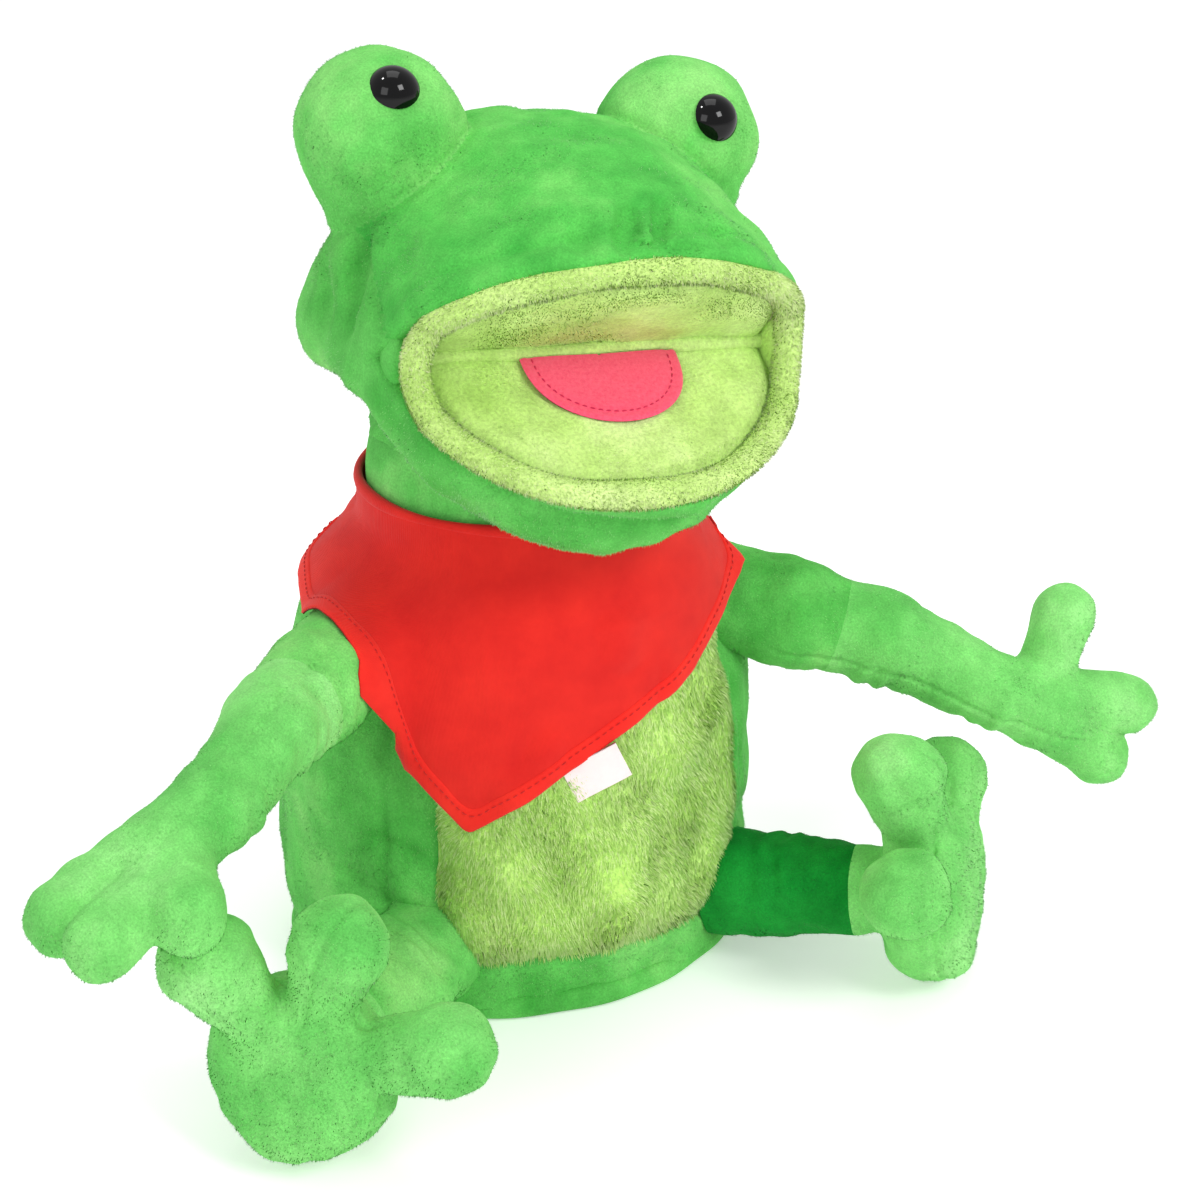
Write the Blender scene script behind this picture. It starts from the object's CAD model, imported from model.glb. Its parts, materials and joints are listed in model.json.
import json
import math

import bpy
import numpy as np
import openvdb
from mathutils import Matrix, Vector


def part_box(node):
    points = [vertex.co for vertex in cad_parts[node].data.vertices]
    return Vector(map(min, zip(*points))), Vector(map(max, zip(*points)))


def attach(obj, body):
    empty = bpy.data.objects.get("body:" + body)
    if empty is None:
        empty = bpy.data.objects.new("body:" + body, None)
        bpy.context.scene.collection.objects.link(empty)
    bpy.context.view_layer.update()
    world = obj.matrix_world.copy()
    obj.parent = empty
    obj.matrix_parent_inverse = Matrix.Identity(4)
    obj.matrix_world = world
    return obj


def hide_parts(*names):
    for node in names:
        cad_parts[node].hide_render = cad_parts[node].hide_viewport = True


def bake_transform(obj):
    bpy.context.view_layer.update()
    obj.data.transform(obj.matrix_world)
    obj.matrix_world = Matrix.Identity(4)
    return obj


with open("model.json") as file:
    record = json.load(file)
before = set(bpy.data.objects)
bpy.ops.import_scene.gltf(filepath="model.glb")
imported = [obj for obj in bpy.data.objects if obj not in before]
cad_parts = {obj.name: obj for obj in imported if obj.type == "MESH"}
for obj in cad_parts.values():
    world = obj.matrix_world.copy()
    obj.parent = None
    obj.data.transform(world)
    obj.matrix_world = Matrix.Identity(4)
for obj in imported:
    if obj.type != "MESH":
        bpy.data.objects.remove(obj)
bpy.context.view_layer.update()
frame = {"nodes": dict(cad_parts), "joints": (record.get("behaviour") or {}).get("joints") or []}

# A seated plush frog hand puppet. Shapes are worked out in millimetres and written in metres.
MM = 0.001
GRID = 1.5
PILE_SHARE = 1.0
PLUSH = 1.6
SEED = 11
UP = np.array([0.0, 0.0, 1.0])

# ------------------------------------------------------------------ places, from the frame's joints
PIVOT = {j["name"]: np.array(j["pos_m"]) / MM for j in frame["joints"]}
NECK_PIVOT = PIVOT["head_nod"]
JAW_AXIS = np.array(next(j["axis"] for j in frame["joints"] if j["name"] == "jaw"))
HEAD_ROLL = math.atan2(-JAW_AXIS[2], JAW_AXIS[0])
ROLL_CENTRE = np.array([0.0, -12.0, 245.0])

# Head, in its upright frame
CROWN_CENTRE, CROWN_RADII = np.array([0.0, -30.0, 217.0]), np.array([72.0, 78.0, 72.0])
CROWN_BOTTOM = 208.0
FOLD = np.array([0.0, -70.0, 228.0])
SLOPES = {"upper": math.radians(41.0), "lower": math.radians(-33.4)}
MOUTH_HALF = 64.5
MOUTH_DEPTH = {"upper": 51.0, "lower": 54.0}
THROAT_FULLNESS = 4.5
SKIRT_RADIUS, SKIRT_BOTTOM = 53.5, 181.0
SEAM_CORNER, SEAM_NORMAL = np.array([0.0, -68.0, 235.0]), np.array([0.0, 0.462, -0.887])
BUMP_RADIUS = 25.0
BUMPS = {"right": np.array([-51.0, -17.0, 281.0]), "left": np.array([46.5, -17.0, 277.5])}
EYE_LOOK = {"right": np.array([-0.10, -0.70, 0.70]), "left": np.array([0.08, -0.88, 0.46])}

# Torso sections: height, half-width, half-depth, shift along Y
TORSO_RINGS = np.array([
    (0, 77, 67, 0), (30, 80, 69, 0), (70, 80, 69, 0), (105, 76, 66, -1),
    (132, 68, 61, -5), (149, 58, 55, -9), (158, 52, 51, -12),
], float)
SIDE_SEAM, PATCH_RIGHT, PATCH_LEFT = 52.0, -38.0, 46.0
PATCH_BOTTOM, PATCH_TOP = 22.0, 146.0
BANDANA_TURN = math.radians(-24.0)
BANDANA_EDGE = np.array([(-78, 150), (-63, 132), (-13, 72), (58, 115), (76, 137), (84, 150)], float)
COLLAR_BOTTOM, COLLAR_TOP = 146.0, 170.0

ARM_RADII, LEG_RADII = (17.0, 15.0, 12.5), (16.5, 14.5)
FINGERS = {
    "right": [(-178.0, -100.0, 96.0), (-170.0, -117.0, 95.0)],
    "left": [(193.0, -77.0, 76.0), (184.0, -76.0, 59.0)],
}
THUMBS = {"right": (-147.0, -119.0, 100.0), "left": (172.0, -67.0, 108.0)}
SHOULDER_ROOTS = {"right": (-56.0, -20.0, 127.0), "left": (58.0, -20.0, 121.0)}
FEET = {"right": (-113.0, -106.5, 33.0), "left": (109.0, -94.5, 33.0)}
TOES = {
    "right": [(-138.0, -102.0, 73.0), (-104.0, -118.0, 79.0), (-80.0, -139.0, 50.0)],
    "left": [(127.0, -70.0, 58.0), (93.0, -96.0, 79.0), (84.0, -118.0, 50.0)],
}
HIP_ROOTS = {"right": (-48.0, -44.0, 24.0), "left": (52.0, -44.0, 25.0)}
PAD_RADIUS, PAD_THICK, PAD_EDGE = 29.0, 28.0, 12.0
TOE_RADII = (10.0, 14.5)


# ------------------------------------------------------------------ camera
def make_camera():
    data = bpy.data.cameras.new("camera")
    data.sensor_width = 36.0
    data.lens = 80.3
    data.shift_x = 0.0133
    data.shift_y = -0.0208
    camera = bpy.data.objects.new("camera", data)
    bpy.context.scene.collection.objects.link(camera)
    turn, rise = math.radians(-24.0), math.radians(24.0)
    back = Vector((math.sin(turn) * math.cos(rise), -math.cos(turn) * math.cos(rise), math.sin(rise)))
    camera.location = Vector((0.010, -0.035, 0.140)) + back * 0.85
    camera.rotation_euler = (-back).to_track_quat("-Z", "Y").to_euler()
    bpy.context.scene.camera = camera


make_camera()


# ------------------------------------------------------------------ distances, negative inside
def unit(vector):
    vector = np.asarray(vector, float)
    return vector / np.linalg.norm(vector)


def length(vectors):
    return np.sqrt((vectors * vectors).sum(-1))


def ball(p, centre, radius):
    return length(p - centre) - radius


def egg(p, centre, radii):
    q = (p - centre) / radii
    k = length(q)
    return k * (k - 1) / np.maximum(length(q / radii), 1e-9)


def bar(p, start, end, start_radius, end_radius):
    """A tapered round bar with ball ends."""
    start, end = np.asarray(start, float), np.asarray(end, float)
    axis = end - start
    t = np.clip((p - start) @ axis / (axis @ axis), 0, 1)
    return length(p - start - t[:, None] * axis) - (start_radius + t * (end_radius - start_radius))


def pebble(p, centre, axis, radius, half_thick, edge):
    """A round pad with a rounded rim."""
    q = p - centre
    along = np.abs(q @ axis)
    across = length(q - (q @ axis)[:, None] * axis)
    out = np.stack([across - (radius - edge), along - (half_thick - edge)], -1)
    return length(np.maximum(out, 0)) + np.minimum(out.max(-1), 0) - edge


def join(a, b, softness):
    h = np.maximum(softness - np.abs(a - b), 0) / softness
    return np.minimum(a, b) - h * h * softness / 4


def carve(a, b, softness):
    return -join(-a, b, softness)


def bell(x, width):
    return np.exp(-((x / width) ** 2))


def step(x, low, high):
    t = np.clip((x - low) / (high - low), 0, 1)
    return t * t * (3 - 2 * t)


def lumps(p, wavelength, seed, waves=8):
    """Soft random waves with a spread of about one."""
    rng = np.random.default_rng(SEED + seed)
    directions = rng.normal(size=(waves, 3))
    directions /= length(directions)[:, None]
    pitch = 2 * np.pi / wavelength * rng.uniform(0.7, 1.4, waves)
    phase = rng.uniform(0, 2 * np.pi, waves)
    return np.sin(p @ (directions * pitch[:, None]).T + phase).sum(-1) / math.sqrt(waves / 2)


# ------------------------------------------------------------------ meshes
def gradient(distance, p, reach=0.35):
    steps = np.eye(3) * reach
    return np.stack([distance(p + s) - distance(p - s) for s in steps], -1) / (2 * reach)


def polygonise(distance, low, high, pitch=None):
    """Points, normals and quads of the surface where a distance is zero."""
    pitch = pitch or GRID
    low = np.asarray(low, float)
    counts = np.ceil((np.asarray(high) - low) / pitch).astype(int) + 1
    axes = [low[i] + pitch * np.arange(counts[i]) for i in range(3)]
    values = []
    for x in axes[0]:
        slab = np.stack(np.meshgrid([x], axes[1], axes[2], indexing="ij"), -1).reshape(-1, 3)
        values.append(distance(slab).reshape(counts[1], counts[2]))
    grid = openvdb.FloatGrid(50.0)
    grid.copyFromArray(np.stack(values).astype(np.float32))
    points, quads = grid.convertToQuads(isovalue=0.0)
    points = low + points.astype(float) * pitch
    for _ in range(3):
        slope = gradient(distance, points)
        shift = distance(points) / np.maximum((slope * slope).sum(-1), 0.2)
        points = points - np.clip(shift, -pitch, pitch)[:, None] * slope
    slope = gradient(distance, points)
    normals = slope / np.maximum(length(slope), 1e-6)[:, None]
    return points, normals, quads.astype(np.int64)


def face_normals(points, faces):
    a, b = points[faces[:, 2]] - points[faces[:, 0]], points[faces[:, 3]] - points[faces[:, 1]]
    return np.cross(a, b)


def vertex_normals(points, faces):
    across = face_normals(points, faces)
    total = np.zeros_like(points)
    for corner in range(4):
        np.add.at(total, faces[:, corner], across)
    return total / np.maximum(length(total), 1e-9)[:, None]


def turned_towards(points, faces, outward):
    """A surface's points, normals and faces, turned to look the way that outward points."""
    normals = vertex_normals(points, faces)
    if (normals * outward).sum() < 0:
        return points, -normals, faces[:, ::-1]
    return points, normals, faces


def grid_faces(rows, columns, wrap=False):
    """Quads of a grid of points that is numbered row by row."""
    last = columns if wrap else columns - 1
    r, c = np.meshgrid(np.arange(rows - 1), np.arange(last), indexing="ij")
    right = (c + 1) % columns
    quads = [r * columns + c, r * columns + right, (r + 1) * columns + right, (r + 1) * columns + c]
    return np.stack(quads, -1).reshape(-1, 4)


def keep_faces(points, normals, faces, wanted):
    used, renumbered = np.unique(faces[wanted], return_inverse=True)
    return points[used], normals[used], renumbered.reshape(-1, 4)


def thicken(points, normals, faces, thickness):
    """A closed shell: the surface, the same surface set inwards, and walls round its edges."""
    count = len(points)
    edges = np.concatenate([faces[:, [i, (i + 1) % 4]] for i in range(4)])
    edges = edges[edges[:, 0] != edges[:, 1]]
    code = edges.min(1) * count + edges.max(1)
    _, first, uses = np.unique(code, return_index=True, return_counts=True)
    rim = edges[first[uses == 1]]
    walls = np.column_stack([rim[:, 1], rim[:, 0], rim[:, 0] + count, rim[:, 1] + count])
    inner = points - normals * np.reshape(thickness, (-1, 1))
    return (
        np.vstack([points, inner]),
        np.vstack([normals, -normals]),
        np.vstack([faces, faces[:, ::-1] + count, walls]),
    )


def mesh_object(name, points, faces, materials, normals=None, slots=None):
    mesh = bpy.data.meshes.new(name)
    mesh.from_pydata((np.asarray(points) * MM).tolist(), [], faces.tolist())
    mesh.polygons.foreach_set("use_smooth", np.ones(len(faces), bool))
    for material in materials:
        mesh.materials.append(material)
    if slots is not None:
        mesh.polygons.foreach_set("material_index", slots)
    if normals is not None:
        mesh.normals_split_custom_set_from_vertices(np.asarray(normals).tolist())
    mesh.update()
    piece = bpy.data.objects.new(name, mesh)
    bpy.context.scene.collection.objects.link(piece)
    return piece


def shell_object(name, surface, material, thickness=PLUSH):
    points, normals, faces = thicken(*surface, thickness)
    return mesh_object(name, points, faces, [material], normals)


def settle(piece, body, slot, *nodes):
    """Set a piece on a body, with its finish and the CAD nodes that it stands for."""
    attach(piece, body)
    if nodes:
        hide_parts(*nodes)
    return piece


def short_pile(name, surface, flow, seed, materials=None):
    """The plush's own short fibres, brushed one way."""
    return pile(name, surface, materials or GREEN_FIBRES, 0.9, 1.15, 0.26, flow, 1.1, seed)


def tube(path, across, up, widths, heights, sides=20):
    """A closed tube with an oval section along a path; across and up are the section's axes."""
    turn = np.linspace(0, 2 * np.pi, sides, endpoint=False)
    ring = np.cos(turn)[None, :, None] * across[:, None] * widths[:, None, None]
    ring = ring + np.sin(turn)[None, :, None] * up[:, None] * heights[:, None, None]
    points = (path[:, None] + ring).reshape(-1, 3)
    faces = grid_faces(len(path), sides, wrap=True)
    centres = np.array([len(points), len(points) + 1])
    points = np.vstack([points, path[0], path[-1]])
    start = np.arange(sides)
    end = start + (len(path) - 1) * sides
    following = (start + 1) % sides
    caps = [
        np.column_stack([following, start, np.full(sides, centres[0]), np.full(sides, centres[0])]),
        np.column_stack([end, following + (len(path) - 1) * sides, np.full(sides, centres[1]),
                         np.full(sides, centres[1])]),
    ]
    return points, faces, [row[:3].tolist() for cap in caps for row in cap]


def tube_object(name, path, across, up, widths, heights, materials, sides=20):
    points, faces, caps = tube(path, across, up, widths, heights, sides)
    mesh = bpy.data.meshes.new(name)
    mesh.from_pydata((points * MM).tolist(), [], faces.tolist() + caps)
    mesh.polygons.foreach_set("use_smooth", np.ones(len(faces) + len(caps), bool))
    for material in materials:
        mesh.materials.append(material)
    mesh.update()
    piece = bpy.data.objects.new(name, mesh)
    bpy.context.scene.collection.objects.link(piece)
    return piece


SWIRL, SWIRL_PITCH, STRAY = 0.28, 28.0, 0.18
BLADE_CORNERS = 5


def pile(name, surface, materials, density, blade, width, flow, lean, seed, keep=None):
    """Fibres that stand on a surface: thin pointed blades that lean along the flow."""
    points, normals, faces = surface
    rng = np.random.default_rng(SEED + seed)
    area = length(face_normals(points, faces)) / 2
    total = int(area.sum() * density * PILE_SHARE)
    picked = faces[rng.choice(len(faces), total, p=area / area.sum())]
    u, v = rng.random((2, total, 1))
    weights = [(1 - u) * (1 - v), u * (1 - v), u * v, (1 - u) * v]
    root = sum(w * points[picked[:, i]] for i, w in enumerate(weights))
    normal = sum(w * normals[picked[:, i]] for i, w in enumerate(weights))
    normal /= np.maximum(length(normal), 1e-6)[:, None]
    if keep is not None:
        inside = keep(root)
        root, normal = root[inside], normal[inside]
    count = len(root)
    swirl = np.stack([lumps(root, SWIRL_PITCH, seed + k) for k in range(3)], -1)
    stray = STRAY * rng.normal(size=(count, 3))
    direction = normal + lean * (np.asarray(flow, float) + SWIRL * swirl) + stray
    direction /= length(direction)[:, None]
    reach = blade * rng.uniform(0.65, 1.15, (count, 1))
    side = np.cross(direction, normal) + 0.25 * np.cross(direction, rng.normal(size=(count, 3)))
    side *= width / 2 / np.maximum(length(side), 1e-6)[:, None]
    root = root - 0.4 * normal
    middle = root + direction * reach * 0.55
    tip = root + direction * reach + np.array([0, 0, -0.10]) * reach
    corners = np.stack([root - side, root + side, middle + side * 0.8, tip, middle - side * 0.8], 1)
    blades = np.arange(count)[:, None] * BLADE_CORNERS + np.arange(BLADE_CORNERS)
    slots = rng.integers(0, len(materials), count)
    shade = np.repeat(normal + 0.2 * direction, BLADE_CORNERS, axis=0)
    shade /= length(shade)[:, None]
    return mesh_object(name, corners.reshape(-1, 3), blades, materials, shade, slots)


# ------------------------------------------------------------------ materials
def add_node(tree, kind, inputs=(), **settings):
    node = tree.nodes.new(kind)
    for key, value in settings.items():
        setattr(node, key, value)
    for key, value in dict(inputs).items():
        if isinstance(value, bpy.types.NodeSocket):
            tree.links.new(value, node.inputs[key])
        else:
            node.inputs[key].default_value = value
    return node


def linear(red, green, blue):
    """A colour given as sRGB from 0 to 255, in the renderer's linear light."""
    share = np.array([red, green, blue]) / 255
    return (*np.where(share <= 0.04045, share / 12.92, ((share + 0.055) / 1.055) ** 2.4).tolist(), 1.0)


def new_material(name):
    material = bpy.data.materials.new(name)
    material.use_nodes = True
    tree = material.node_tree
    return material, tree, tree.nodes["Principled BSDF"]


def noise(tree, place, scale, detail=3.0, roughness=0.55, stretch=None):
    if stretch is not None:
        place = add_node(tree, "ShaderNodeMapping", {"Vector": place, "Scale": stretch}).outputs["Vector"]
    inputs = {"Vector": place, "Scale": scale, "Detail": detail, "Roughness": roughness}
    return add_node(tree, "ShaderNodeTexNoise", inputs).outputs["Fac"]


def ramp(tree, factor, stops):
    node = add_node(tree, "ShaderNodeValToRGB", {"Fac": factor})
    elements = node.color_ramp.elements
    elements[0].position, elements[0].color = stops[0]
    elements[1].position, elements[1].color = stops[-1]
    for position, colour in stops[1:-1]:
        elements.new(position).color = colour
    return node.outputs["Color"]


def mix(tree, kind, factor, a, b):
    node = add_node(tree, "ShaderNodeMix", data_type="RGBA", blend_type=kind)
    for socket, value in ((node.inputs[0], factor), (node.inputs[6], a), (node.inputs[7], b)):
        if isinstance(value, bpy.types.NodeSocket):
            tree.links.new(value, socket)
        else:
            socket.default_value = value
    return node.outputs[2]


def bump(tree, height, strength, depth, normal=None):
    inputs = {"Height": height, "Strength": strength, "Distance": depth}
    if normal is not None:
        inputs["Normal"] = normal
    return add_node(tree, "ShaderNodeBump", inputs).outputs["Normal"]


def grey(value):
    return (value, value, value, 1.0)


def plush(name, *greens, fibre=1500.0, rough=0.35):
    """Short pile: broad nap patches, brushed streaks and a fine fibre grain."""
    deep, middle, light = (linear(*green) for green in greens)
    material, tree, shader = new_material(name)
    place = add_node(tree, "ShaderNodeTexCoord").outputs["Object"]
    patches = noise(tree, place, 20.0, 4.0, 0.6)
    streaks = noise(tree, place, 130.0, 4.0, 0.6, stretch=(1.0, 1.0, 0.45))
    fibres = noise(tree, place, fibre, 3.0, 0.7)
    colour = ramp(tree, patches, [(0.34, deep), (0.52, middle), (0.70, light)])
    strokes = ramp(tree, streaks, [(0.30, grey(0.70)), (0.70, grey(1.28))])
    colour = mix(tree, "MULTIPLY", 0.35, colour, strokes)
    grain = ramp(tree, fibres, [(0.28, grey(0.60)), (0.72, grey(1.38))])
    colour = mix(tree, "MULTIPLY", 0.55, colour, grain)
    tree.links.new(colour, shader.inputs["Base Color"])
    shader.inputs["Roughness"].default_value = 0.92
    shader.inputs["Specular IOR Level"].default_value = 0.15
    shader.inputs["Sheen Weight"].default_value = 0.35
    shader.inputs["Sheen Roughness"].default_value = 0.45
    shader.inputs["Sheen Tint"].default_value = light
    normal = bump(tree, streaks, 0.30, 0.0016)
    normal = bump(tree, fibres, rough, 0.0009, normal)
    tree.links.new(normal, shader.inputs["Normal"])
    return material


def fibre_material(name, colour, rough=0.85):
    """One shade of standing fibre or thread."""
    material, _, shader = new_material(name)
    shader.inputs["Base Color"].default_value = colour
    shader.inputs["Roughness"].default_value = rough
    shader.inputs["Specular IOR Level"].default_value = 0.2
    shader.inputs["Sheen Weight"].default_value = 0.15
    return material


def fibres(name, *colours):
    """The shades of fibre that a pile is mixed from."""
    return [fibre_material(f"{name}_fibre_{i}", linear(*colour)) for i, colour in enumerate(colours)]


def woven(name, colour, pale, pitch=2600.0):
    """Plain woven cloth: crossing threads and a little unevenness."""
    material, tree, shader = new_material(name)
    place = add_node(tree, "ShaderNodeTexCoord").outputs["Object"]
    wave = {"Vector": place, "Scale": pitch / 3, "Distortion": 0.6}
    warp = add_node(tree, "ShaderNodeTexWave", wave, bands_direction="Z").outputs["Fac"]
    weft = add_node(tree, "ShaderNodeTexWave", wave, bands_direction="X").outputs["Fac"]
    weave = add_node(tree, "ShaderNodeMath", {0: warp, 1: weft}, operation="ADD").outputs[0]
    shade = noise(tree, place, 60.0, 4.0, 0.6)
    tone = ramp(tree, shade, [(0.3, linear(*colour)), (0.75, linear(*pale))])
    threads = ramp(tree, weave, [(0.0, grey(0.86)), (1.0, grey(1.10))])
    tree.links.new(mix(tree, "MULTIPLY", 0.25, tone, threads), shader.inputs["Base Color"])
    shader.inputs["Roughness"].default_value = 0.82
    shader.inputs["Specular IOR Level"].default_value = 0.2
    shader.inputs["Sheen Weight"].default_value = 0.1
    tree.links.new(bump(tree, weave, 0.25, 0.0003), shader.inputs["Normal"])
    return material


def felt(name, colour, pale):
    """Pressed felt: short matted fibres."""
    material, tree, shader = new_material(name)
    place = add_node(tree, "ShaderNodeTexCoord").outputs["Object"]
    fibres = noise(tree, place, 900.0, 5.0, 0.75)
    tree.links.new(ramp(tree, fibres, [(0.3, colour), (0.7, pale)]), shader.inputs["Base Color"])
    shader.inputs["Roughness"].default_value = 0.95
    shader.inputs["Sheen Weight"].default_value = 0.25
    tree.links.new(bump(tree, fibres, 0.5, 0.0006), shader.inputs["Normal"])
    return material


def moulded(name, colour, rough, gloss=0.5):
    """Moulded plastic with a faint unevenness in its polish."""
    material, tree, shader = new_material(name)
    place = add_node(tree, "ShaderNodeTexCoord").outputs["Object"]
    wear = noise(tree, place, 400.0, 3.0, 0.5)
    shader.inputs["Base Color"].default_value = colour
    limits = {"Value": wear, "To Min": rough * 0.8, "To Max": rough * 1.2}
    spread = add_node(tree, "ShaderNodeMapRange", limits).outputs["Result"]
    tree.links.new(spread, shader.inputs["Roughness"])
    shader.inputs["Specular IOR Level"].default_value = gloss
    return material


GREEN = plush("green_plush", (66, 160, 62), (98, 190, 88), (138, 212, 116))
CROWN_GREEN = plush("crown_green_plush", (48, 152, 54), (84, 184, 78), (120, 204, 102))
LIMB_GREEN = plush("limb_green_plush", (92, 182, 84), (120, 204, 106), (152, 222, 134))
DEEP_GREEN = plush("deep_green_plush", (4, 100, 30), (8, 122, 38), (30, 150, 54))
PATCH = plush("belly_plush", (156, 206, 92), (182, 224, 112), (204, 236, 142), rough=0.6, fibre=900.0)
MOUTH = plush("mouth_plush", (168, 206, 104), (194, 226, 132), (218, 240, 162), rough=0.6, fibre=900.0)
LINING = woven("lining_cotton", (96, 190, 92), (128, 206, 116))
RED = woven("red_cotton", (206, 24, 20), (224, 36, 26))
HEM_RED = woven("red_hem_cotton", (222, 28, 22), (238, 44, 30))
TAPE = woven("tag_tape", (240, 214, 218), (250, 232, 232), pitch=4000.0)
THREAD = fibre_material("red_thread", linear(196, 20, 18), 0.6)
FELT = felt("tongue_felt", linear(236, 58, 96), linear(250, 92, 124))
FELT_THREAD = fibre_material("tongue_thread", linear(200, 30, 74), 0.7)
EYE_BLACK = moulded("eye_black", linear(4, 4, 5), 0.08, gloss=0.25)
WASHER = moulded("washer_white", linear(236, 236, 232), 0.4)
BOARD = moulded("mouth_board", linear(206, 196, 170), 0.7)
GREEN_FIBRES = fibres("green", (82, 174, 76), (98, 190, 88), (116, 202, 102), (134, 212, 116))
CROWN_FIBRES = fibres("crown", (66, 166, 66), (84, 182, 80), (100, 194, 92), (116, 204, 102))
LIMB_FIBRES = fibres("limb", (104, 192, 94), (122, 206, 108), (140, 216, 122), (156, 224, 138))
DEEP_FIBRES = fibres("deep", (8, 112, 36), (14, 132, 44), (34, 150, 56))
PATCH_FIBRES = fibres("belly", (158, 208, 94), (178, 222, 110), (196, 232, 134), (214, 240, 158))
MOUTH_FIBRES = fibres("mouth", (178, 214, 112), (196, 226, 132), (212, 236, 154), (228, 244, 178))


# ------------------------------------------------------------------ head
def roll(p, angle):
    """Turn points about the Y line through the middle of the face."""
    q = np.asarray(p, float) - ROLL_CENTRE
    c, s = math.cos(angle), math.sin(angle)
    turned = [q[..., 0] * c + q[..., 2] * s, q[..., 1], q[..., 2] * c - q[..., 0] * s]
    return np.stack(turned, -1) + ROLL_CENTRE


def upright(p):
    return roll(p, -HEAD_ROLL)


def rolled(p):
    return roll(p, HEAD_ROLL)


def lip_outline(x, reach, depth):
    """Distance outside the mouth's oval outline, where reach is the distance from the fold."""
    k = np.hypot(x / MOUTH_HALF, reach / depth)
    return k * (k - 1) / np.maximum(np.hypot(x / MOUTH_HALF**2, reach / depth**2), 1e-6)


def palate_height(q, name):
    """How far points lie into the padding behind a palate's plane."""
    slope = SLOPES[name]
    side = 1 if name == "upper" else -1
    return side * ((q[:, 1] - FOLD[1]) * math.sin(slope) + (q[:, 2] - FOLD[2]) * math.cos(slope))


def crease(q, start, end, width, depth):
    """A groove along a straight line between two points, fading at its ends."""
    start, end = np.asarray(start, float), np.asarray(end, float)
    axis = end - start
    t = np.clip((q - start) @ axis / (axis @ axis), 0, 1)
    return depth * bell(length(q - start - t[:, None] * axis), width) * (0.35 + 0.65 * np.sin(np.pi * t))


def bump_distance(q, side):
    """An eye bump: a ball that widens into the crown below it."""
    centre = BUMPS[side]
    inward = np.array([0.55 * (1 if side == "right" else -1), -0.05, -1.0])
    foot = centre + unit(inward) * 17.0
    return bar(q, centre, foot, BUMP_RADIUS, BUMP_RADIUS - 1.0)


def below_mouth(q):
    """Angle about the fold, downwards from straight ahead, in degrees."""
    return np.degrees(np.arctan2(FOLD[2] - q[:, 2], FOLD[1] - q[:, 1]))


def crown_distance(q):
    reach = np.hypot(q[:, 1] - FOLD[1], q[:, 2] - FOLD[2])
    crown = carve(egg(q, CROWN_CENTRE, CROWN_RADII), q[:, 2] - CROWN_BOTTOM, 16.0)
    under = below_mouth(q)
    upper, lower = MOUTH_DEPTH["upper"], MOUTH_DEPTH["lower"]
    depth = upper + (lower - upper) * step(under, -30.0, 30.0)
    depth = depth + THROAT_FULLNESS * step(under, 52.0, 66.0) * step(-q[:, 1], 50.0, 75.0)
    muzzle = lip_outline(q[:, 0], reach, depth)
    return join(crown, muzzle, 12.0)


# Start, end, width and depth; a negative depth is a ridge
FOREHEAD_CREASES = [
    ((-3, -88, 274), (-10, -101, 267), 2.4, 9.0),
    ((8, -86, 276), (2, -99, 268), 2.2, 7.0),
    ((2, -92, 275), (-4, -104, 268), 2.4, -2.4),
    ((-18, -93, 271), (-23, -100, 267), 3.6, 5.0),
    ((22, -93, 272), (24, -100, 266), 3.2, 3.6),
    ((-17, -99, 269), (13, -103, 267), 1.4, 1.8),
    ((13, -103, 267), (48, -82, 259), 1.4, 1.8),
    ((-60, -33, 258), (-65, -45, 232), 4.0, 7.0),
    ((-66, -22, 246), (-70, -30, 226), 4.5, 4.0),
    ((-58, -50, 262), (-60, -70, 252), 5.0, 1.8),
    ((60, -40, 258), (66, -55, 236), 5.0, 2.4),
]
CHIN_CREASES = [
    ((-50, -60, 196), (-20, -84, 176), 5.0, 1.8),
    ((20, -92, 178), (50, -66, 190), 5.0, 1.8),
    ((4, -112, 196), (8, -96, 182), 2.2, 1.0),
]


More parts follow.
